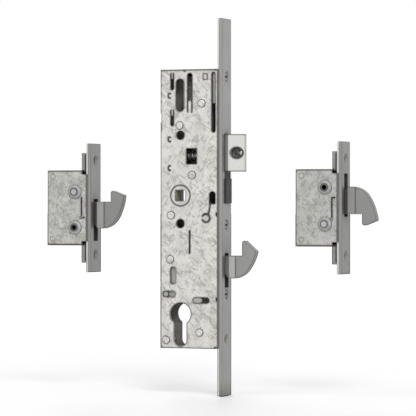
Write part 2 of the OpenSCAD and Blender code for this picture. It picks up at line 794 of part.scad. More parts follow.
module side_case() {
    difference() {
        block(side_back, case_front, -inner_y, half_t, -side_top, side_top);
        block(side_back + sheet, front_inner, -half_t, inner_y, -side_top + sheet, side_top - sheet);
        hook_opening(side_slot_bottom, side_pivot_z + 4, front_inner - eps, case_front + eps);
        block(front_inner - eps, case_front + eps, layer_near - gap, layer_far + gap / 2,
            side_lug_z - travel - gap, side_lug_z + lug_h + gap);
        for (p = side_rivets) bar_y(p[0], p[1], side_rivet_d, 0, half_t + eps);
        // Corner notches beside the clips
        for (s = [-1, 1]) translate([case_front, -inner_y, s * side_top])
            cube([clip_w * 2, 5, 6], center = true);
    }
}

module side_cover() {
    prism_y(-half_t, -inner_y) difference() {
        cover_outline(side_back + cover_inset, case_front, -side_top + cover_inset, side_top - cover_inset);
        translate([side_pivot_x, side_pivot_z]) circle(d = hook_pivot_d);
        translate([side_pivot_x, side_boss_z]) circle(d = screw_hole_d);
        for (p = side_rivets) translate(p) circle(d = side_rivet_d);
        // Slit with a foot, and corner notches beside the clips
        slit_w = 0.7;
        upright_slot(side_pivot_x + 5.6, slit_w, side_pivot_z - 4, side_pivot_z - 20.5);
        translate([side_pivot_x + 5.6 - slit_w / 2, side_pivot_z - 20.5]) square([3, slit_w]);
        for (s = [-1, 1]) translate([case_front, s * side_top]) square([clip_w * 2, 6], center = true);
    }
}

module side_rail() {
    w = spacer_d + 2 * gap;
    difference() {
        block(rail_back, rail_front, -rail_w / 2, rail_w / 2, -hook_plate_len / 2, hook_plate_len / 2);
        for (s = [-1, 1])
            plate_slot(s * hook_screw_pitch / 2, s * hook_screw_pitch / 2 + travel, w,
                rail_back - eps, rail_front + eps);
        rail_slot(side_slot_bottom, side_pivot_z + 4, -hook_t / 2 - gap, hook_t / 2 + gap);
        block(rail_back - eps, rail_front + eps, layer_near, layer_far, side_lug_z, side_lug_z + lug_h);
    }
}

module side_cam_plate() {
    union() {
        prism_y(layer_near, layer_far) difference() {
            translate([side_pivot_x - 12, side_pivot_z - 15])
                square([bar_front - side_pivot_x + 12, side_top - sheet - gap - side_pivot_z + 15]);
            translate([side_pivot_x, side_pivot_z]) cam_outline(side_pin_r, side_pin_a);
        }
        rail_lug(side_lug_z);
    }
}

module side_hook() {
    translate([side_pivot_x, 0, side_pivot_z])
        hook_body(side_setback, side_throat_drop, side_arc, side_arm_x, side_pin_r, side_pin_a);
}

// Cone-shaped boss with a flat top, a ring pressed into it and a small middle cap
module side_boss(z) {
    ring_d = 5;
    ring_w = 0.6;
    cap_rise = 0.4;
    translate([side_pivot_x, -half_t, z]) rotate([90, 0, 0]) {
        difference() {
            cylinder(d1 = side_boss_d, d2 = side_boss_top_d, h = side_boss_rise);
            translate([0, 0, side_boss_rise - 0.5]) difference() {
                cylinder(d = ring_d + 2 * ring_w, h = eps);
                translate([0, 0, -eps]) cylinder(d = ring_d, h = 3 * eps);
            }
        }
        cylinder(d = ring_d, h = side_boss_rise + cap_rise);
    }
}

module side_hook_pivot() {
    hook_pivot_pin(side_pivot_x, side_pivot_z);
    side_boss(side_pivot_z);
}

// Threaded boss set in the cover
module side_threaded_boss() {
    difference() {
        union() {
            bar_y(side_pivot_x, side_boss_z, screw_hole_d, -half_t, -inner_y);
            side_boss(side_boss_z);
        }
        bar_y(side_pivot_x, side_boss_z, side_thread_d, -case_t, 0);
    }
}

// Folded clips above and below the case that take the faceplate screws
module side_clips() {
    clip_back = case_front - clip_w;
    for (s = [0, 1]) mirror([0, 0, s]) difference() {
        block(clip_back, case_front, -half_t, half_t, side_top, clip_outer);
        block(clip_back - eps, case_front - sheet, -half_t + sheet, half_t - sheet,
            side_top - eps, clip_outer - sheet);
        // Grooves that leave a fold standing along both sides
        for (y = [-half_t, half_t])
            block(case_front - 1.1, case_front + eps, y - 1, y + 1, side_top - eps, clip_outer - 1.4);
        bar_x(0, hook_screw_pitch / 2, screw_hole_d, clip_back - eps, case_front + eps);
    }
}

module side_spacers() {
    for (s = [-1, 1]) spacer(s * hook_screw_pitch / 2);
}

// Rivets closed flush with the sheet, so that the cover stays plain
module side_case_rivets() {
    for (p = side_rivets) bar_y(p[0], p[1], side_rivet_d, -half_t, half_t);
}

module upper_faceplate() { color("silver") at_side(false) side_faceplate(); }
module upper_case() { color("tan") at_side(false) side_case(); }
module upper_cover() { color("lightgray") at_side(false) side_cover(); }
module upper_drive_rail() { color("whitesmoke") at_side(false) side_rail(); }
module upper_cam_plate() { color("silver") at_side(false) side_cam_plate(); }
module upper_hook() { color("gray") at_side(false) side_hook(); }
module upper_hook_pivot() { color("silver") at_side(false) side_hook_pivot(); }
module upper_threaded_boss() { color("silver") at_side(false) side_threaded_boss(); }
module upper_clips() { color("darkgray") at_side(false) side_clips(); }
module upper_spacers() { color("darkgray") at_side(false) side_spacers(); }
module upper_rivets() { color("silver") at_side(false) side_case_rivets(); }

module lower_faceplate() { color("silver") at_side(true) side_faceplate(); }
module lower_case() { color("tan") at_side(true) side_case(); }
module lower_cover() { color("lightgray") at_side(true) side_cover(); }
module lower_drive_rail() { color("whitesmoke") at_side(true) side_rail(); }
module lower_cam_plate() { color("silver") at_side(true) side_cam_plate(); }
module lower_hook() { color("gray") at_side(true) side_hook(); }
module lower_hook_pivot() { color("silver") at_side(true) side_hook_pivot(); }
module lower_threaded_boss() { color("silver") at_side(true) side_threaded_boss(); }
module lower_clips() { color("darkgray") at_side(true) side_clips(); }
module lower_spacers() { color("darkgray") at_side(true) side_spacers(); }
module lower_rivets() { color("silver") at_side(true) side_case_rivets(); }

centre_faceplate();
gearbox_case();
gearbox_cover();
gearbox_rivets();
centre_drive_rail();
drive_carriage();
carriage_spring();
spindle_hub();
latch_bolt();
latch_spring();
latch_guide();
latch_insert();
centre_hook();
centre_hook_pivot();
deadlock_slide();
centre_screws();
centre_spacers();
upper_faceplate();
upper_case();
upper_cover();
upper_drive_rail();
upper_cam_plate();
upper_hook();
upper_hook_pivot();
upper_threaded_boss();
upper_clips();
upper_spacers();
upper_rivets();
lower_faceplate();
lower_case();
lower_cover();
lower_drive_rail();
lower_cam_plate();
lower_hook();
lower_hook_pivot();
lower_threaded_boss();
lower_clips();
lower_spacers();
lower_rivets();
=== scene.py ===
"""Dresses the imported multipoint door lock: finishes, small formed details, camera and light.

Every piece is in metres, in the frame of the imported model. +X points out of the faceplates,
-Y out of the broad covers and +Z up the door.
"""

import logging
import math
from dataclasses import dataclass, replace
from enum import Enum

import bmesh
import bpy
import numpy as np
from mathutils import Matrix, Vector


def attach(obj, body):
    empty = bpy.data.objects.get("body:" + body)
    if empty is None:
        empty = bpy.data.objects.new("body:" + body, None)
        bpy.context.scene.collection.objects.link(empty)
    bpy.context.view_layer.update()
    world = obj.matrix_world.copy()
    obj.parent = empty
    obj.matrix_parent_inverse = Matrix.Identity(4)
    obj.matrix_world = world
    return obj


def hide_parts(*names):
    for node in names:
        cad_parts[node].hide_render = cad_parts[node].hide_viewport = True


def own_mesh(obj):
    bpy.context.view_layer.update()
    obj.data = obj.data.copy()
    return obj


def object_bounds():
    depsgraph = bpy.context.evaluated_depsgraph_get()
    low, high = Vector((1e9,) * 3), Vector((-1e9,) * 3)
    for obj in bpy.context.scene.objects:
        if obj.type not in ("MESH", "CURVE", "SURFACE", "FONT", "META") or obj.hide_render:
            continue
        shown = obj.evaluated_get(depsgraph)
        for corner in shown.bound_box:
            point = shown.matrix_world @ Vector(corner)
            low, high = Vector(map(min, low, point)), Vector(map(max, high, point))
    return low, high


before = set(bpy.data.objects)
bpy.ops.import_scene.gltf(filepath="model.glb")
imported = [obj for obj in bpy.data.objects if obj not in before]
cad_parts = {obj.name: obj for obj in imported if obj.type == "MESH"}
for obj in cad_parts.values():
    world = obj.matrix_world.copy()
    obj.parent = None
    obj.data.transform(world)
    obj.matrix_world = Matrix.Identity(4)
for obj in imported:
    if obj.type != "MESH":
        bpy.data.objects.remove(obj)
CAD_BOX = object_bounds()

LOG = logging.getLogger("lock")
MM = 0.001
ROOT = "lock_frame"

Colour = tuple[float, float, float]
Point = tuple[float, float, float]
Socket = bpy.types.NodeSocket

# Painted shade: the colour darkened into corners and gaps, and the colour of the painted shade deep in a
# case
PAINTED_SHADE: Colour = (0.022, 0.02, 0.017)
CASE_SHADE: Colour = (0.1, 0.085, 0.07)


class Grain(Enum):
    """How a metal or plastic surface is textured."""

    SPANGLE = "crystal streaks of hot-dip zinc"
    SPECKLE = "dense short flecks of hot-dip zinc"
    BRUSHED = "fine lines along the strip"
    PLATED = "even, slightly cloudy plating"
    CAST = "fine pebbled skin of a pressed or cast bolt"
    MOULDED = "soft moulded plastic"


@dataclass(frozen=True)
class Split:
    """A second pair of colours, beyond a place along one axis and up to an end if there is one."""

    place: float
    light: Colour
    dark: Colour
    axis: str = "X"
    until: float | None = None


@dataclass(frozen=True)
class Finish:
    """One surface finish, made of a shader with colour, gloss and relief that vary over the surface.

    Sizes are in metres, colours are linear. The edge colour is painted along the turned edges of the
    piece: where it is darker, painted shade and dark painted reflection together with the darker cut
    edge of the sheet; where it is lighter, a painted highlight. Painted shade darkens its corners, and
    the deep shade colour is painted shade inside the cases.
    """

    name: str
    slot: str
    light: Colour
    dark: Colour
    grain: Grain
    metallic: float = 0.85
    gloss: tuple[float, float] = (0.32, 0.5)
    patch: float = 0.012
    fleck: float = 0.0016
    edge: float = 0.5
    edge_colour: Colour = (0.1, 0.1, 0.095)
    edge_radius: float = 0.0004
    relief: float = 0.00003
    specular: float = 0.5
    corner: float = 0.6
    inside: float = 0.95
    shade: tuple[float, float] = (0.06, 0.6)
    deep_shade: Colour = CASE_SHADE
    splits: tuple[Split, ...] = ()

    def material(self) -> bpy.types.Material:
        """Build the shader, or give the one that was built before.

        Returns:
            The material with this finish's name.
        """
        known = bpy.data.materials.get(self.name)
        if known is not None:
            return known
        made = bpy.data.materials.new(self.name)
        made.use_nodes = True
        Shader(made, self).build()
        return made


class Shader:
    """Node network of one finish.

    The constants are shared by all finishes. Reaches are in metres, and a range is a pair of limits.
    A detail is a noise's number of octaves. Each set of streaks has its share of the patch size and its
    angle about Y in radians.
    """

    RAY_COUNT = 8
    EDGE_RANGE = (0.66, 0.97)
    CORNER_REACH = 0.0011
    CORNER_RANGE = (0.35, 0.95)
    CASE_REACH = 0.02
    CLOUD_DETAIL = 5.0
    CLOUD_ROUGH = 0.62
    CLOUD_RANGE = (0.3, 0.7)
    FINE_DETAIL = 3.0
    FINE_SHARE = {
        Grain.SPANGLE: 0.4,
        Grain.SPECKLE: 0.4,
        Grain.BRUSHED: 0.5,
        Grain.PLATED: 0.25,
        Grain.CAST: 0.5,
        Grain.MOULDED: 0.25,
    }
    LINE_SLOWNESS = 0.02
    LINE_ROUGH = 0.7
    STREAK_SETS = ((0.27, 0.85), (0.2, -0.6))
    STREAK_LENGTH = {Grain.SPANGLE: 4.5, Grain.SPECKLE: 2.2}
    STREAK_WAVE = 1.1
    STREAK_BEND = 1.3
    STREAK_WIDTH = 0.13
    STREAK_GAP = 0.45
    STREAK_GAP_DETAIL = 2.0
    STREAK_KEPT = (0.46, 0.6)
    STREAK_TONE = 0.2
    BETWEEN_RANGE = (0.25, 0.65)
    BETWEEN_TONE = 0.66
    SPLIT_SOFT = 0.00005
    BUMP_STRENGTH = 0.6

    def __init__(self, material: bpy.types.Material, finish: Finish) -> None:
        """Start from the material's own nodes.

        Args:
            material: The material to fill.
            finish: The values to fill it with.
        """
        self.tree = material.node_tree
        self.finish = finish
        self.surface = next(n for n in self.tree.nodes if n.type == "BSDF_PRINCIPLED")
        self.place = self.node("ShaderNodeTexCoord").outputs["Object"]

    def node(self, kind: str, **values: object) -> bpy.types.Node:
        """Add a node and set its plain properties.

        Args:
            kind: Blender's name of the node type.
            values: Properties of the node by name.

        Returns:
            The new node.
        """
        made = self.tree.nodes.new(kind)
        for key, value in values.items():
            setattr(made, key, value)
        return made

    def link(self, source: Socket, target: Socket) -> None:
        """Join two sockets."""
        self.tree.links.new(source, target)

    def scaled(self, scale: Point, turn: float = 0.0) -> Socket:
        """Give the object coordinates, turned about Y and stretched along each axis.

        Args:
            scale: Cycles per metre along X, Y and Z.
            turn: Angle about Y in radians.

        Returns:
            The socket with the stretched coordinates.
        """
        turned = self.place
        if turn:
            spin = self.node("ShaderNodeVectorRotate", rotation_type="Y_AXIS")
            spin.inputs["Angle"].default_value = turn
            self.link(self.place, spin.inputs["Vector"])
            turned = spin.outputs["Vector"]
        mapping = self.node("ShaderNodeMapping")
        mapping.inputs["Scale"].default_value = scale
        self.link(turned, mapping.inputs["Vector"])
        return mapping.outputs["Vector"]

    def noise(self, scale: Point, detail: float = 4.0, rough: float = 0.55) -> Socket:
        """Give a cloudy value from 0 to 1 over the surface.

        Args:
            scale: Clouds per metre along X, Y and Z.
            detail: Octaves of the noise.
            rough: Weight of the finer octaves.

        Returns:
            The socket with the value.
        """
        cloud = self.node("ShaderNodeTexNoise")
        cloud.inputs["Scale"].default_value = 1.0
        cloud.inputs["Detail"].default_value = detail
        cloud.inputs["Roughness"].default_value = rough
        self.link(self.scaled(scale), cloud.inputs["Vector"])
        return cloud.outputs["Fac"]

    def math(self, operation: str, first: Socket, second: Socket | float) -> Socket:
        """Work out one value from two.

        Args:
            operation: Blender's name of the operation.
            first: The first value's socket.
            second: The second value's socket, or a number.

        Returns:
            The socket with the result.
        """
        made = self.node("ShaderNodeMath", operation=operation)
        self.link(first, made.inputs[0])
        if isinstance(second, float):
            made.inputs[1].default_value = second
        else:
            self.link(second, made.inputs[1])
        return made.outputs[0]

    def streaks(self, size: float, length: float, turn: float) -> Socket:
        """Give 1 on short wandering lines and 0 between them.

        The lines are the borders of cells whose coordinates are bent by a noise. A second noise
        keeps only some of them, so that they stay short.

        Args:
            size: Distance between the lines in metres.
            length: How much longer than wide the cells are.
            turn: Angle of the long side about Y in radians.

        Returns:
            The socket with the value.
        """
        cell = 1.0 / size
        flat = self.scaled((cell, cell, cell / length), turn)
        bend = self.node("ShaderNodeTexNoise")
        bend.inputs["Scale"].default_value = self.STREAK_WAVE
        bend.inputs["Detail"].default_value = self.FINE_DETAIL
        self.link(flat, bend.inputs["Vector"])
        move = self.node("ShaderNodeVectorMath", operation="MULTIPLY_ADD")
        move.inputs[1].default_value = (self.STREAK_BEND,) * 3
        self.link(bend.outputs["Color"], move.inputs[0])
        self.link(flat, move.inputs[2])
        border = self.node("ShaderNodeTexVoronoi", feature="DISTANCE_TO_EDGE")
        border.inputs["Scale"].default_value = 1.0
        self.link(move.outputs["Vector"], border.inputs["Vector"])
        line = self.stretch(border.outputs["Distance"], 0.0, self.STREAK_WIDTH, 1.0, 0.0)
        gaps = self.noise((cell * self.STREAK_GAP,) * 3, self.STREAK_GAP_DETAIL)
        return self.math("MULTIPLY", line, self.stretch(gaps, *self.STREAK_KEPT))

    def stretch(self, value: Socket, low: float, high: float, to_low: float = 0.0,
                to_high: float = 1.0) -> Socket:
        """Map one range of a value onto another, held at the ends.

        Args:
            value: The value's socket.
            low: Start of the range.
            high: End of the range.
            to_low: What the start becomes.
            to_high: What the end becomes.

        Returns:
            The socket with the result.
        """
        span = self.node("ShaderNodeMapRange")
        limits = {"From Min": low, "From Max": high, "To Min": to_low, "To Max": to_high}
        for name, number in limits.items():
            span.inputs[name].default_value = number
        self.link(value, span.inputs["Value"])
        return span.outputs["Result"]

    def weigh(self, first: Socket, second: Socket, share: float) -> Socket:
        """Mix two values, with the second's share."""
        mix = self.node("ShaderNodeMix", data_type="FLOAT")
        mix.inputs["Factor"].default_value = share
        self.link(first, mix.inputs["A"])
        self.link(second, mix.inputs["B"])
        return mix.outputs["Result"]

    def tint(self, factor: Socket, first: Socket | Colour, second: Socket | Colour) -> Socket:
        """Mix two colours, given as colours or as sockets, by a value.

        Args:
            factor: Share of the second colour.
            first: The first colour.
            second: The second colour.

        Returns:
            The socket with the mixed colour.
        """
        mix = self.node("ShaderNodeMix", data_type="RGBA")
        sockets = {s.identifier: s for s in mix.inputs}
        for key, colour in (("A_Color", first), ("B_Color", second)):
            if isinstance(colour, tuple):
                sockets[key].default_value = (*colour, 1.0)
            else:
                self.link(colour, sockets[key])
        self.link(factor, sockets["Factor_Float"])
        return next(s for s in mix.outputs if s.identifier == "Result_Color")

    def turned_edges(self, colour: Socket) -> Socket:
        """Paint the places near an edge of the piece in the edge colour: where it is darker, painted
        shade and dark painted reflection on the rounded edge together with the darker cut edge of the
        sheet; where it is lighter, a painted highlight.

        An edge is where lines from the surface into the solid soon come out of it again.

        Args:
            colour: The socket with the plain colour.

        Returns:
            The socket with the edged colour.
        """
        depth = self.node("ShaderNodeAmbientOcclusion", samples=self.RAY_COUNT, inside=True,
                          only_local=True)
        depth.inputs["Distance"].default_value = self.finish.edge_radius
        turn = self.stretch(depth.outputs["AO"], *self.EDGE_RANGE, self.finish.edge, 0.0)
        return self.tint(turn, colour, self.finish.edge_colour)

    def paint_shade(self, colour: Socket) -> Socket:
        """Paint shade into corners, gaps and the inside of the cases, darker where less of the surround
        is open.

        Args:
            colour: The socket with the unshaded colour.

        Returns:
            The socket with the colour under its painted shade.
        """
        f = self.finish
        # Painted shade: the near reach darkens corners and gaps, the far reach darkens the inside of the
        # cases
        near = (self.CORNER_REACH, self.CORNER_RANGE, f.corner, PAINTED_SHADE)
        far = (self.CASE_REACH, f.shade, f.inside, f.deep_shade)
        for reach, limits, most, shade_colour in (near, far):
            open_sky = self.node("ShaderNodeAmbientOcclusion", samples=self.RAY_COUNT)
            open_sky.inputs["Distance"].default_value = reach
            share = self.stretch(open_sky.outputs["AO"], *limits, most, 0.0)
            colour = self.tint(share, colour, shade_colour)
        return colour

    def pattern(self) -> tuple[Socket, Socket]:
        """Give the value that mixes dark and light, and the height of the relief.

        Returns:
            The sockets with the mixing value and the height.
        """
        f = self.finish
        patch = 1.0 / f.patch
        fleck = 1.0 / f.fleck
        clouds = self.noise((patch,) * 3, self.CLOUD_DETAIL, self.CLOUD_ROUGH)
        clouds = self.stretch(clouds, *self.CLOUD_RANGE)
        fine = self.noise((fleck,) * 3, self.FINE_DETAIL)
        share = self.FINE_SHARE[f.grain]
        if f.grain in self.STREAK_LENGTH:
            long = self.STREAK_LENGTH[f.grain]
            rising, falling = (self.streaks(f.patch * part, long, turn)
                               for part, turn in self.STREAK_SETS)
            lines = self.math("MAXIMUM", rising, falling)
            clear = self.stretch(lines, 0.0, 1.0, 1.0, self.STREAK_TONE)
            between = self.weigh(clouds, fine, share)
            between = self.stretch(between, *self.BETWEEN_RANGE, self.BETWEEN_TONE)
            return self.math("MULTIPLY", clear, between), fine
        if f.grain is Grain.BRUSHED:
            scale = (fleck, fleck, fleck * self.LINE_SLOWNESS)
            lines = self.noise(scale, self.FINE_DETAIL, self.LINE_ROUGH)
            return self.weigh(clouds, self.stretch(lines, *self.CLOUD_RANGE), share), lines
        return self.weigh(clouds, fine, share), fine

    def front_of(self, value: Socket, behind: Socket, split: Split) -> Socket:
        """Give the split's colours beyond its place and the plain ones before it.

        Args:
            value: The value that mixes dark and light.
            behind: The plain colour.
            split: The place and its colours.

        Returns:
            The socket with the colour.
        """
        apart = self.node("ShaderNodeSeparateXYZ")
        self.link(self.place, apart.inputs["Vector"])
        along = apart.outputs[split.axis]
        soft = self.SPLIT_SOFT
        beyond = self.stretch(along, split.place - soft, split.place + soft)
        if split.until is not None:
            before = self.stretch(along, split.until - soft, split.until + soft, 1.0, 0.0)
            beyond = self.math("MULTIPLY", beyond, before)
        return self.tint(beyond, behind, self.tint(value, split.dark, split.light))

    def build(self) -> None:
        """Join the pattern, the painted edges, the painted shade and the relief to the surface."""
        f = self.finish
        value, height = self.pattern()
        colour = self.tint(value, f.dark, f.light)
        for split in f.splits:
            colour = self.front_of(value, colour, split)
        colour = self.turned_edges(colour)
        bump = self.node("ShaderNodeBump")
        bump.inputs["Strength"].default_value = self.BUMP_STRENGTH
        bump.inputs["Distance"].default_value = f.relief
        self.link(height, bump.inputs["Height"])
        self.link(self.paint_shade(colour), self.surface.inputs["Base Color"])
        roughness = self.stretch(value, 0.0, 1.0, f.gloss[1], f.gloss[0])
        self.link(roughness, self.surface.inputs["Roughness"])
        self.link(bump.outputs["Normal"], self.surface.inputs["Normal"])
        self.surface.inputs["Metallic"].default_value = f.metallic
        self.surface.inputs["Specular IOR Level"].default_value = f.specular


def toned(colour: Colour, level: float) -> Colour:
    """Give a colour at another level of brightness."""
    return (colour[0] * level, colour[1] * level, colour[2] * level)


@dataclass(frozen=True)
class HookLook:
    """Tones of one hook: a dark root at the faceplate that is painted shade, a lighter band that is
    painted light, then the blade.

    Places are along X in metres, from the hook's own case. The level is the brightness against the plain
    steel, and the band's is against the blade.
    """

    side: str
    case_place: float
    level: float
    root: Colour
    root_end: float
    band: float
    root_start: float = 0.034
    blade_start: float = 0.0435
    root_shade: float = 0.8
    light: Colour = (0.335, 0.335, 0.324)
    dark: Colour = (0.29, 0.29, 0.282)

    def finish(self) -> Finish:
        """Put the tones together.

        Returns:
            The finish of the hook.
        """
        light = toned(self.light, self.level)
        dark = toned(self.dark, self.level)
        blade = Split(self.case_place + self.blade_start, light, dark)
        root = Split(self.case_place + self.root_start, self.root, toned(self.root, self.root_shade),
                     "X", self.case_place + self.root_end)
        return Finish(self.side + "_satin_hook_steel", "hook_steel", toned(light, self.band),
                      toned(dark, self.band), Grain.CAST, metallic=0.5, gloss=(0.4, 0.55), patch=0.008,
                      fleck=0.0007, edge=0.6, edge_radius=0.0009, corner=0.15, splits=(blade, root))


# Zinc and sheet of the cases
GALVANISED = Finish("galvanised_sheet", "galvanised", (0.82, 0.81, 0.77), (0.34, 0.335, 0.315),
                    Grain.SPANGLE, metallic=0.4, gloss=(0.36, 0.6), patch=0.0115, fleck=0.0011,
                    edge=0.85, edge_radius=0.0011, corner=0.45)
DULL_SHEET = replace(GALVANISED, name="dull_galvanised_tray", light=(0.5, 0.49, 0.46),
                     dark=(0.26, 0.255, 0.24), deep_shade=(0.27, 0.23, 0.195))
# Painted shade: the walls inside the hub's square hole are a darker tan than its faces
HUB_HOLE_SHADE = Split(-0.0086, (0.5, 0.485, 0.39), (0.36, 0.35, 0.275), "Y", 0.0086)
HUB = replace(GALVANISED, name="hub_zinc", metallic=0.0, specular=0.1, gloss=(0.6, 0.8),
              inside=0.25, splits=(HUB_HOLE_SHADE,))
RIVET = replace(GALVANISED, name="rivet_zinc", edge=0.0)
SPECKLED = Finish("speckled_galvanised_sheet", "galvanised", (0.64, 0.635, 0.6), (0.2, 0.2, 0.185),
                  Grain.SPECKLE, metallic=0.4, gloss=(0.4, 0.62), patch=0.006, fleck=0.0009,
                  edge=0.85, edge_radius=0.0011)
FEATHERED = replace(GALVANISED, name="feathered_galvanised_sheet", light=(0.57, 0.57, 0.535),
                    dark=(0.24, 0.24, 0.225), patch=0.01)
BOSS = Finish("pressed_boss_steel", "galvanised", (0.6, 0.61, 0.6), (0.44, 0.45, 0.445), Grain.PLATED,
              metallic=0.5, gloss=(0.25, 0.4), patch=0.003, edge=0.8, edge_radius=0.0006)
PASSIVATED = Finish("tan_passivated_tray", "passivated", (0.44, 0.37, 0.26), (0.25, 0.2, 0.12),
                    Grain.PLATED, metallic=0.5, gloss=(0.34, 0.55), patch=0.01)

# Faceplates, rails and bolts
SATIN = Finish("satin_faceplate_steel", "satin_faceplate", (0.42, 0.415, 0.4), (0.33, 0.325, 0.315),
               Grain.BRUSHED, metallic=0.7, gloss=(0.36, 0.5), patch=0.03, fleck=0.0006, edge=0.6,
               edge_radius=0.0006, shade=(0.25, 0.88))
DULL_SATIN = replace(SATIN, name="dull_faceplate_steel", light=(0.355, 0.352, 0.34),
                     dark=(0.28, 0.277, 0.268))
ZINC = Finish("pale_zinc_rail", "pale_zinc", (0.8, 0.82, 0.78), (0.68, 0.7, 0.66), Grain.PLATED,
              metallic=0.2, gloss=(0.3, 0.48), edge=0.15, corner=0.1, inside=0.2)
# Painted shade: each rail is darker over the stretch that runs along its case, for the shaded gap beside
# the case; the band is fixed on the rail and moves with it
RAIL_SHADE_LIGHT: Colour = (0.2, 0.195, 0.185)
RAIL_SHADE_DARK: Colour = (0.14, 0.135, 0.125)
CENTRE_RAIL = replace(ZINC, name="centre_rail_zinc",
                      splits=(Split(-0.1185, RAIL_SHADE_LIGHT, RAIL_SHADE_DARK, "Z", 0.098),))
SIDE_RAIL = replace(ZINC, name="side_rail_zinc",
                    splits=(Split(-0.036, RAIL_SHADE_LIGHT, RAIL_SHADE_DARK, "Z", 0.017),))
SLIDE = replace(ZINC, name="grey_slide_zinc", light=(0.46, 0.46, 0.43), dark=(0.36, 0.36, 0.335),
                edge=0.7, edge_radius=0.0008, corner=0.6, inside=0.9)
# Painted light: the latch's bevelled head beyond this place is far lighter than its dark flat near the
# faceplate, for the light on the bevel; the latch's dark edge colour is painted shade
LATCH_BEVEL_LIGHT = Split(0.0378, (0.78, 0.78, 0.75), (0.69, 0.69, 0.66))
NICKEL = Finish("bright_nickel_latch", "bright_nickel", (0.31, 0.31, 0.3), (0.26, 0.26, 0.25),
                Grain.BRUSHED, metallic=0.5, gloss=(0.24, 0.36), patch=0.01, fleck=0.0008, edge=0.92,
                edge_radius=0.0013, edge_colour=(0.05, 0.05, 0.048), splits=(LATCH_BEVEL_LIGHT,))
# Painted highlight: the lighter edge colour of the plastic
PLASTIC = Finish("dark_moulded_plastic", "dark_plastic", (0.033, 0.033, 0.035), (0.023, 0.023, 0.025),
                 Grain.MOULDED, metallic=0.0, gloss=(0.42, 0.58), fleck=0.0005, edge=0.3,
                 edge_colour=(0.12, 0.12, 0.125), relief=0.00002, specular=0.3)
CENTRE_HOOK = HookLook("centre", 0.0, 1.06, (0.2, 0.202, 0.21), 0.0384, 1.47)
UPPER_HOOK = HookLook("upper", -0.110, 0.94, (0.065, 0.062, 0.059), 0.0376, 1.37)
LOWER_HOOK = HookLook("lower", 0.097, 0.94, (0.068, 0.065, 0.059), 0.0376, 1.06)

# Steel of the small pieces and of the mechanism
STEEL = Finish("plain_steel", "plain_steel", (0.46, 0.46, 0.44), (0.32, 0.32, 0.305), Grain.PLATED,
               metallic=0.75, gloss=(0.3, 0.48), patch=0.006, edge=0.6)
# Painted shade: the dark edge colour rings each screw head where it sits in its countersink
SCREW = Finish("dull_screw_steel", "plain_steel", (0.66, 0.66, 0.64), (0.42, 0.42, 0.405), Grain.PLATED,
               metallic=0.85, gloss=(0.2, 0.32), patch=0.004, edge=0.92, edge_radius=0.0009,
               edge_colour=(0.03, 0.03, 0.028))
CLIP = replace(STEEL, name="dull_clip_steel", light=(0.36, 0.36, 0.345), dark=(0.24, 0.24, 0.23),
               edge=0.8, edge_radius=0.0006)
# Painted shade: the mechanism is a dark brown deeper into the case than this place
INNER_DEPTH_SHADE = Split(-0.0066, (0.06, 0.049, 0.04), (0.03, 0.025, 0.02), "Y")
INNER = Finish("inner_mechanism_steel", "plain_steel", (0.42, 0.42, 0.4), (0.28, 0.28, 0.265),
               Grain.CAST, metallic=0.2, gloss=(0.5, 0.7), patch=0.006, specular=0.2, deep_shade=PAINTED_SHADE,
               splits=(INNER_DEPTH_SHADE,))
# Painted highlight: the lighter edge colour of the dark spring steel
DARK_STEEL = Finish("dark_spring_steel", "plain_steel", (0.09, 0.09, 0.088), (0.05, 0.05, 0.048),
                    Grain.PLATED, metallic=0.6, gloss=(0.3, 0.45), patch=0.003, edge=0.4,
                    edge_colour=(0.3, 0.3, 0.29))
LEAF = Finish("tan_leaf_spring", "passivated", (0.5, 0.43, 0.3), (0.3, 0.25, 0.16), Grain.PLATED,
              metallic=0.4, gloss=(0.3, 0.5), patch=0.006, edge=0.0, corner=0.1, inside=0.15)

# A node takes the finish under its full name, or else the one under its name without the side
FINISHES: dict[str, Finish] = {
    "gearbox_case": DULL_SHEET,
    "gearbox_cover": GALVANISED,
    "gearbox_rivets": RIVET,
    "centre_faceplate": SATIN,
    "centre_drive_rail": CENTRE_RAIL,
    "drive_carriage": INNER,
    "carriage_spring": STEEL,
    "spindle_hub": HUB,
    "latch_bolt": NICKEL,
    "latch_spring": STEEL,
    "latch_guide": INNER,
    "latch_insert": PLASTIC,
    "centre_hook": CENTRE_HOOK.finish(),
    "centre_hook_pivot": RIVET,
    "deadlock_slide": SLIDE,
    "centre_screws": SCREW,
    "centre_spacers": STEEL,
    "upper_hook": UPPER_HOOK.finish(),
    "lower_hook": LOWER_HOOK.finish(),
    "faceplate": DULL_SATIN,
    "case": PASSIVATED,
    "cover": SPECKLED,
    "lower_cover": FEATHERED,
    "drive_rail": SIDE_RAIL,
    "cam_plate": INNER,
    "hook_pivot": BOSS,
    "threaded_boss": BOSS,
    "clips": CLIP,
    "spacers": STEEL,
    "upper_rivets": replace(SPECKLED, name="speckled_rivet_end", edge=0.0),
    "lower_rivets": replace(FEATHERED, name="feathered_rivet_end", edge=0.0),
}


def dress(node: str, finish: Finish) -> None:
    """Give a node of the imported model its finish.

    Args:
        node: Name of the node.
        finish: The finish to give it.
    """
    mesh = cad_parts[node].data
    mesh.materials.clear()
    mesh.materials.append(finish.material())


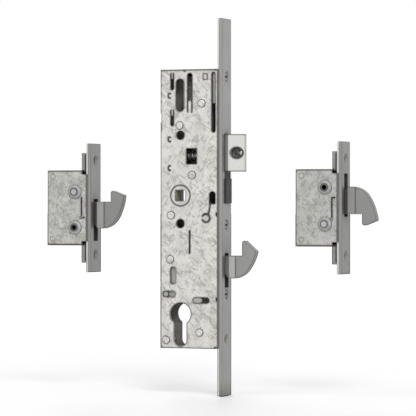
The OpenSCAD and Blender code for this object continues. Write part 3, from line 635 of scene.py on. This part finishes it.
@dataclass
class Shape:
    """Points and faces of a closed surface, in millimetres until it becomes a piece."""

    points: np.ndarray
    faces: list[tuple[int, ...]]

    @staticmethod
    def turned(profile: np.ndarray, segments: int = 32) -> "Shape":
        """Turn a profile about the Y axis.

        A point is (r cos t, h, r sin t) for each radius r and height h of the profile and each
        angle t. The profile's first and last points lie on the axis.

        Args:
            profile: Rows of radius and height.
            segments: Steps around the axis.

        Returns:
            The closed surface.
        """
        t = np.arange(segments) * 2 * np.pi / segments
        r, h = profile[1:-1, 0][:, None], profile[1:-1, 1][:, None]
        rings = np.stack([r * np.cos(t), np.broadcast_to(h, (len(r), segments)), r * np.sin(t)], axis=-1)
        poles = np.array([[0.0, profile[0, 1], 0.0], [0.0, profile[-1, 1], 0.0]])
        points = np.concatenate([poles, rings.reshape(-1, 3)])
        return Shape(points, Shape.bands(len(r), segments, 2, (0, 1)))

    @staticmethod
    def bands(rings: int, segments: int, start: int, poles: tuple[int, int]) -> list[tuple[int, ...]]:
        """Join rings of points with quads, and the end rings to a point with triangles.

        Args:
            rings: Number of rings.
            segments: Points in a ring.
            start: Number of the first ring's first point.
            poles: Numbers of the two end points.

        Returns:
            The faces.
        """
        k = np.arange(segments)
        after = (k + 1) % segments
        row = start + segments * np.arange(rings - 1)[:, None]
        quads = np.stack([row + k, row + after, row + segments + after, row + segments + k], axis=-1)
        last = start + segments * (rings - 1)
        first_fan = np.stack([np.full(segments, poles[0]), start + after, start + k], axis=-1)
        last_fan = np.stack([np.full(segments, poles[1]), last + k, last + after], axis=-1)
        faces = [tuple(f) for f in quads.reshape(-1, 4).tolist()]
        return faces + [tuple(f) for f in np.concatenate([first_fan, last_fan]).tolist()]

    @staticmethod
    def carried(path: np.ndarray, section: np.ndarray) -> "Shape":
        """Carry a closed section along a path that lies across Y.

        A point is the path's point plus the section's first number along the path's side direction
        and its second along Y. The side direction is the tangent turned by a right angle about Y.

        Args:
            path: Rows of X and Z.
            section: Rows of side and Y.

        Returns:
            The closed surface.
        """
        tangent = np.gradient(path, axis=0)
        tangent /= np.linalg.norm(tangent, axis=1, keepdims=True)
        side = np.stack([-tangent[:, 1], tangent[:, 0]], axis=1)
        flat = path[:, None, :] + side[:, None, :] * section[None, :, :1]
        depth = np.broadcast_to(section[None, :, 1], flat.shape[:2])
        rings = np.stack([flat[..., 0], depth, flat[..., 1]], axis=-1)
        middle = section[:, 1].mean()
        poles = np.array([[path[0, 0], middle, path[0, 1]], [path[-1, 0], middle, path[-1, 1]]])
        points = np.concatenate([poles, rings.reshape(-1, 3)])
        return Shape(points, Shape.bands(len(path), len(section), 2, (0, 1)))

    @staticmethod
    def coil(length: float, radius: float, wire: float, turns: int) -> "Shape":
        """Wind one wire along Z from the height 0.

        The middle of the wire is (r cos t, r sin t, half a wire plus pitch t / 2 pi). The wire's
        ring lies across it: out along the radius, and up along a line that leans with the coil.

        Args:
            length: Length of the spring over its ends.
            radius: Radius r to the middle of the wire.
            wire: Diameter of the wire.
            turns: Number of turns.

        Returns:
            The closed surface.
        """
        steps, sides = 28, 8
        t = np.linspace(0.0, 2 * np.pi * turns, turns * steps + 1)
        pitch = (length - wire) / turns
        lean = math.atan2(pitch, 2 * math.pi * radius)
        flat = np.zeros_like(t)
        rise = wire / 2 + pitch * t / (2 * np.pi)
        middle = np.stack([radius * np.cos(t), radius * np.sin(t), rise], axis=1)
        out = np.stack([np.cos(t), np.sin(t), flat], axis=1)
        up = np.stack([np.sin(t), -np.cos(t), flat + 1 / math.tan(lean)], axis=1) * math.sin(lean)
        b = np.arange(sides) * 2 * np.pi / sides
        ring = out[:, None, :] * np.cos(b)[:, None] + up[:, None, :] * np.sin(b)[:, None]
        rings = middle[:, None, :] + wire / 2 * ring
        points = np.concatenate([middle[[0, -1]], rings.reshape(-1, 3)])
        return Shape(points, Shape.bands(len(t), sides, 2, (0, 1)))

    @staticmethod
    def prism(outline: np.ndarray, near: float, far: float) -> "Shape":
        """Stand a flat outline up along Y between two depths.

        Args:
            outline: Rows of X and Z, in order around the outline.
            near: Depth of one end.
            far: Depth of the other end.

        Returns:
            The closed surface.
        """
        middle = outline.mean(axis=0)
        ends = np.array([[middle[0], near, middle[1]], [middle[0], far, middle[1]]])
        rings = [np.insert(outline, 1, depth, axis=1) for depth in (near, far)]
        return Shape(np.concatenate([ends, *rings]), Shape.bands(2, len(outline), 2, (0, 1)))

    def placed(self, place: Point, turn_over: bool = False) -> "Shape":
        """Give the shape at a place, turned to face the other way along Y if asked.

        Args:
            place: Where its origin goes, in millimetres.
            turn_over: Whether Y and X change sign.

        Returns:
            The placed shape.
        """
        signs = np.array([-1.0, -1.0, 1.0]) if turn_over else np.ones(3)
        return Shape(self.points * signs + np.array(place), self.faces)

    @staticmethod
    def together(shapes: list["Shape"]) -> "Shape":
        """Join several shapes in one.

        Args:
            shapes: The shapes to join.

        Returns:
            One shape with all their points and faces.
        """
        starts = np.cumsum([0] + [len(s.points) for s in shapes[:-1]])
        faces = [tuple(int(i + n) for i in f) for s, n in zip(shapes, starts) for f in s.faces]
        return Shape(np.concatenate([s.points for s in shapes]), faces)

    def piece(self, name: str, finish: Finish, body: str) -> bpy.types.Object:
        """Make the shape a piece of the object.

        Args:
            name: Name of the piece.
            finish: Its finish.
            body: The body it rides on.

        Returns:
            The new object.
        """
        mesh = bpy.data.meshes.new(name)
        mesh.from_pydata((self.points * MM).tolist(), [], self.faces)
        shell = bmesh.new()
        shell.from_mesh(mesh)
        bmesh.ops.recalc_face_normals(shell, faces=shell.faces)
        shell.to_mesh(mesh)
        shell.free()
        mesh.shade_smooth()
        mesh.materials.append(finish.material())
        made = bpy.data.objects.new(name, mesh)
        bpy.context.scene.collection.objects.link(made)
        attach(made, body)
        LOG.info("made %s on %s", name, body)
        return made


def node_box(node: str) -> tuple[np.ndarray, np.ndarray]:
    """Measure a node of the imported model.

    Args:
        node: Name of the node.

    Returns:
        Its lowest and highest corner in millimetres.
    """
    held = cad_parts[node]
    local = np.empty(3 * len(held.data.vertices), dtype=np.float32)
    held.data.vertices.foreach_get("co", local)
    turn = np.array(held.matrix_world)
    points = (local.reshape(-1, 3) @ turn[:3, :3].T + turn[:3, 3]) / MM
    return points.min(axis=0), points.max(axis=0)


@dataclass(frozen=True)
class Spring:
    """A pressed spring that stands for the node of the same form.

    The axis is the number of the coordinate along the spring. Sizes are in millimetres.
    """

    name: str
    node: str
    axis: int
    wire: float
    turns: int
    joint: str
    stroke: float

    def build(self) -> None:
        """Wind the spring in its node's box and hold its low end."""
        low, high = node_box(self.node)
        length = float(high[self.axis] - low[self.axis])
        side = 1 - self.axis // 2
        radius = float(high[side] - low[side] - self.wire) / 2
        shape = Shape.coil(length, radius, self.wire, self.turns)
        if self.axis == 0:
            shape = Shape(shape.points[:, [2, 1, 0]] * np.array([1.0, 1.0, -1.0]), shape.faces)
        start = (low + high) / 2
        start[self.axis] = low[self.axis]
        made = shape.placed(tuple(start)).piece(self.name, STEEL, ROOT)
        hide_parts(self.node)
        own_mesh(made)


@dataclass(frozen=True)
class Profile:
    """Half outline of a turned piece: shares of its radius, and heights along -Y in millimetres."""

    shares: tuple[float, ...]
    heights: tuple[float, ...]

    def shape(self, radius: float, segments: int = 32) -> Shape:
        """Turn the outline about Y: each share times the radius, at minus its height.

        Args:
            radius: Radius of the piece in millimetres.
            segments: Steps around the axis.

        Returns:
            The closed surface about the axis.
        """
        rows = np.stack([np.array(self.shares) * radius, -np.array(self.heights)], axis=1)
        return Shape.turned(rows, segments)


# The upset end of a rivet is a low dome with a shallow dimple in its middle
CROWN = Profile((0.0, 0.2, 0.34, 0.42, 0.62, 0.82, 0.95, 1.0, 1.0, 0.0),
                (0.12, 0.12, 0.16, 0.3, 0.31, 0.22, 0.09, 0.0, -0.1, -0.1))
# The stud has a dished face with a raised middle
STUD = Profile((0.0, 0.18, 0.3, 0.42, 0.8, 0.94, 1.0, 1.0, 0.0),
               (0.1, 0.08, -0.35, -0.5, -0.15, 0.25, 0.1, -2.6, -2.6))
DIMPLE = Profile((0.0, 0.3, 0.6, 0.85, 1.0, 1.0, 0.0), (0.4, 0.37, 0.27, 0.12, 0.0, -0.1, -0.1))


def oval(side: float, depth: float, middle: float, count: int) -> np.ndarray:
    """Give an oval section: (side cos t, middle + depth sin t) for even angles t.

    Args:
        side: Half of its width.
        depth: Half of its size along Y.
        middle: Place of its middle along Y.
        count: Number of points.

    Returns:
        Rows of side and Y.
    """
    t = np.arange(count) * 2 * np.pi / count
    return np.stack([side * np.cos(t), middle + depth * np.sin(t)], axis=1)


@dataclass(frozen=True)
class Lamp:
    """A soft square lamp, with its place and the side of its face in metres and its power in watts."""

    name: str
    place: Point
    side: float
    power: float

    def hang(self, target: Vector) -> None:
        """Put the lamp in the scene, turned to a point.

        Args:
            target: The point it looks at, in metres.
        """
        light = bpy.data.lights.new(self.name, "AREA")
        light.size = self.side
        light.energy = self.power
        lamp = bpy.data.objects.new(self.name, light)
        lamp.location = self.place
        lamp.rotation_mode = "QUATERNION"
        lamp.rotation_quaternion = (Vector(self.place) - target).to_track_quat("Z", "Y")
        bpy.context.scene.collection.objects.link(lamp)


@dataclass(frozen=True)
class View:
    """Where the photograph was taken: level, a little toward the faceplate side.

    The azimuth is in degrees, the distance and the aim are in metres and the sensor is in millimetres.
    The shift moves the camera right and up by so many pixels of the photograph.
    """

    azimuth: float = 20.5
    distance: float = 2.2
    aim: Point = (0.010, 0.0, -0.009)
    shift: tuple[float, float] = (11.5, -0.9)
    focal_pixels: float = 2826.0
    frame_pixels: float = 416.0
    sensor: float = 36.0
    clip_end: float = 100.0

    def build(self) -> None:
        """Stand the camera there."""
        azimuth = math.radians(self.azimuth)
        per_metre = self.focal_pixels / self.distance
        right = Vector((math.cos(azimuth), math.sin(azimuth), 0.0))
        up = Vector((0.0, 0.0, 1.0))
        back = Vector((math.sin(azimuth), -math.cos(azimuth), 0.0))
        offset = right * (self.shift[0] / per_metre) + up * (self.shift[1] / per_metre)
        lens = bpy.data.cameras.new("view")
        lens.sensor_width = self.sensor
        lens.lens = self.sensor * self.focal_pixels / self.frame_pixels
        lens.clip_end = self.clip_end
        camera = bpy.data.objects.new("view", lens)
        camera.location = Vector(self.aim) + offset + back * self.distance
        camera.rotation_mode = "QUATERNION"
        camera.rotation_quaternion = back.to_track_quat("Z", "Y")
        bpy.context.scene.collection.objects.link(camera)
        bpy.context.scene.camera = camera


@dataclass(frozen=True)
class Studio:
    """Floor, surround, lamps and the camera, in metres.

    The key lamp lights the covers from the camera's side and leaves the faceplates a little darker.
    The surround is white to the camera and in reflections, and dimmer as a source of light.
    """

    surround: float = 0.48
    floor_half: float = 60.0
    floor_gap: float = 0.0005
    floor_grey: float = 0.9
    lamps: tuple[Lamp, ...] = (
        Lamp("key", (0.8, -1.5, 1.1), 0.6, 14.0),
        Lamp("fill", (-0.5, -0.9, 1.6), 0.9, 3.4),
        Lamp("rim", (-0.9, 1.2, 0.9), 0.7, 2.8),
    )
    view: View = View()

    def world(self) -> None:
        """Make the even pale surround."""
        world = bpy.data.worlds.new("studio")
        world.use_nodes = True
        tree = world.node_tree
        back = tree.nodes["Background"]
        path = tree.nodes.new("ShaderNodeLightPath")
        seen = path.outputs["Is Camera Ray"]
        for ray in ("Is Glossy Ray", "Is Transmission Ray"):
            either = tree.nodes.new("ShaderNodeMath")
            either.operation = "MAXIMUM"
            tree.links.new(seen, either.inputs[0])
            tree.links.new(path.outputs[ray], either.inputs[1])
            seen = either.outputs[0]
        strength = tree.nodes.new("ShaderNodeMapRange")
        strength.inputs["To Min"].default_value = self.surround
        strength.inputs["To Max"].default_value = 1.0
        tree.links.new(seen, strength.inputs["Value"])
        tree.links.new(strength.outputs["Result"], back.inputs["Strength"])
        back.inputs["Color"].default_value = (1.0, 1.0, 1.0, 1.0)
        bpy.context.scene.world = world

    def floor(self) -> None:
        """Lay a wide floor under the lock that shows only its shadow."""
        half = self.floor_half
        z = CAD_BOX[0].z - self.floor_gap
        corners = np.array([(-half, -half, z), (half, -half, z), (half, half, z), (-half, half, z)])
        mesh = bpy.data.meshes.new("floor")
        mesh.from_pydata(corners.tolist(), [], [(0, 1, 2, 3)])
        floor = bpy.data.objects.new("floor", mesh)
        floor.is_shadow_catcher = True
        paint = bpy.data.materials.new("pale_floor")
        paint.use_nodes = True
        surface = paint.node_tree.nodes["Principled BSDF"]
        surface.inputs["Base Color"].default_value = (*(self.floor_grey,) * 3, 1.0)
        mesh.materials.append(paint)
        bpy.context.scene.collection.objects.link(floor)

    def build(self) -> None:
        """Set up everything around the object."""
        bpy.context.scene.view_settings.view_transform = "Standard"
        self.world()
        self.floor()
        middle = (CAD_BOX[0] + CAD_BOX[1]) / 2
        for lamp in self.lamps:
            lamp.hang(middle)
        self.view.build()


@dataclass(frozen=True)
class Gearbox:
    """Small formed details of the centre gearbox, in millimetres and degrees.

    Places with two numbers are X and Z.
    """

    rivets: tuple[tuple[float, float], ...] = (
        (-0.6, 54.4), (17.6, 71.4), (9.7, 15.8), (-7.8, -15.3), (-8.5, -49.7), (15.8, -106.3),
        (-11.8, -112.3),
    )
    head_y: float = 9.5
    crown_radius: float = 2.45
    stud: Point = (43.2, 0.9, 33.0)
    stud_radius: float = 4.3
    stud_segments: int = 40
    highlight_angles: tuple[float, float] = (-30.0, 24.0)
    highlight_shares: tuple[float, float] = (0.25, 0.93)
    highlight_depths: tuple[float, float] = (-0.22, 0.3)
    highlight_points: int = 10
    wire: float = 0.42
    wire_y: float = -8.9
    wire_start: tuple[tuple[float, float], ...] = ((24.8, -5.4), (24.8, -6.2), (24.2, -10.1))
    ring: tuple[float, float] = (21.2, -17.5)
    ring_radius: float = 3.2
    ring_angles: tuple[float, float] = (52.0, -140.0)
    ring_points: int = 28
    wire_points: int = 90
    wire_sides: int = 10
    leaf_x: float = 2.1
    leaf_y: float = -5.4
    leaf_ends: tuple[float, float] = (65.6, 90.2)
    leaf_bow: float = 0.25
    leaf_half: tuple[float, float] = (0.35, 2.05)
    leaf_points: int = 24
    leaf_sides: int = 12
    springs: tuple[Spring, ...] = (
        Spring("latch_spring_coil", "latch_spring", 0, 0.7, 6, "latch_slide", 14.55),
        Spring("carriage_spring_coil", "carriage_spring", 2, 0.9, 9, "centre_rail_slide", 18.8),
    )

    def crowns(self) -> None:
        """Set a crown on both ends of each rivet."""
        dome = CROWN.shape(self.crown_radius)
        near = [dome.placed((x, -self.head_y, z)) for x, z in self.rivets]
        far = [dome.placed((x, self.head_y, z), True) for x, z in self.rivets]
        Shape.together(near + far).piece("gearbox_rivet_crowns", RIVET, ROOT)

    def latch_stud(self) -> None:
        """Set the dark stud into the hole of the latch, with a painted highlight on its face.

        The painted highlight is a thin sector of lighter steel that opens toward the front: an arc about
        the stud and one inner point.
        """
        r = self.stud_radius
        STUD.shape(r, self.stud_segments).placed(self.stud).piece("latch_stud", DARK_STEEL, "latch")
        inner, outer = self.highlight_shares
        t = np.radians(np.linspace(*self.highlight_angles, self.highlight_points))
        arc = np.stack([np.cos(t), np.sin(t)], axis=1) * outer * r
        flat = np.concatenate([np.array([[inner * r, 0.0]]), arc])
        highlight = Shape.prism(flat, *self.highlight_depths)
        highlight.placed(self.stud).piece("latch_stud_highlight", STEEL, "latch")

    def spring_wire(self) -> None:
        """Lay the end of the hub's return spring in the cover's slit and around its peg.

        The path is straight to the bend, then to the ring and around it; the section is a circle.
        """
        t = np.radians(np.linspace(*self.ring_angles, self.ring_points))
        around = np.array(self.ring) + self.ring_radius * np.stack([np.cos(t), np.sin(t)], axis=1)
        knots = np.concatenate([np.array(self.wire_start), around])
        step = np.concatenate([[0.0], np.cumsum(np.linalg.norm(np.diff(knots, axis=0), axis=1))])
        even = np.linspace(0.0, step[-1], self.wire_points)
        path = np.stack([np.interp(even, step, knots[:, i]) for i in (0, 1)], axis=1)
        section = oval(self.wire, self.wire, self.wire_y, self.wire_sides)
        Shape.carried(path, section).piece("return_spring_wire", DARK_STEEL, ROOT)

    def leaf(self) -> None:
        """Stand the tan leaf spring along the right side of the wide slot.

        The path is upright with a bow of half a sine wave; the section is a thin oval.
        """
        rows = self.leaf_points
        bow = self.leaf_bow * np.sin(np.linspace(0.0, np.pi, rows))
        path = np.stack([self.leaf_x - bow, np.linspace(*self.leaf_ends, rows)], axis=1)
        section = oval(*self.leaf_half, self.leaf_y, self.leaf_sides)
        Shape.carried(path, section).piece("slot_leaf_spring", LEAF, ROOT)

    def build(self) -> None:
        """Make all details."""
        self.crowns()
        self.latch_stud()
        self.spring_wire()
        self.leaf()
        for spring in self.springs:
            spring.build()


@dataclass(frozen=True)
class HookCase:
    """Small formed detail of one hook case, in millimetres."""

    side: str
    dimple: Point
    radius: float = 1.5

    def build(self) -> None:
        """Press a low round dimple into the cover, beside the end of its slit."""
        dome = DIMPLE.shape(self.radius)
        dome.placed(self.dimple).piece(self.side + "_slit_dimple", BOSS, ROOT)


@dataclass(frozen=True)
class Lock:
    """The whole set: the gearbox and its two hook cases."""

    gearbox: Gearbox = Gearbox()
    cases: tuple[HookCase, ...] = (
        HookCase("upper", (-83.6, -9.0, -17.1)),
        HookCase("lower", (122.6, -9.0, -18.6)),
    )

    def finish_of(self, node: str) -> Finish:
        """Find a node's finish by its full name, or by its name without the side.

        Args:
            node: Name of the node.

        Returns:
            Its finish.
        """
        if node in FINISHES:
            return FINISHES[node]
        return FINISHES[node.split("_", 1)[1]]

    def build(self) -> None:
        """Dress every node and add the formed details."""
        for node in sorted(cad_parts):
            dress(node, self.finish_of(node))
            LOG.info("dressed %s", node)
        self.gearbox.build()
        for case in self.cases:
            case.build()


def main() -> None:
    """Build the scene in order."""
    logging.basicConfig(level=logging.INFO)
    Studio().build()
    Lock().build()


if __name__ == "__main__":
    main()
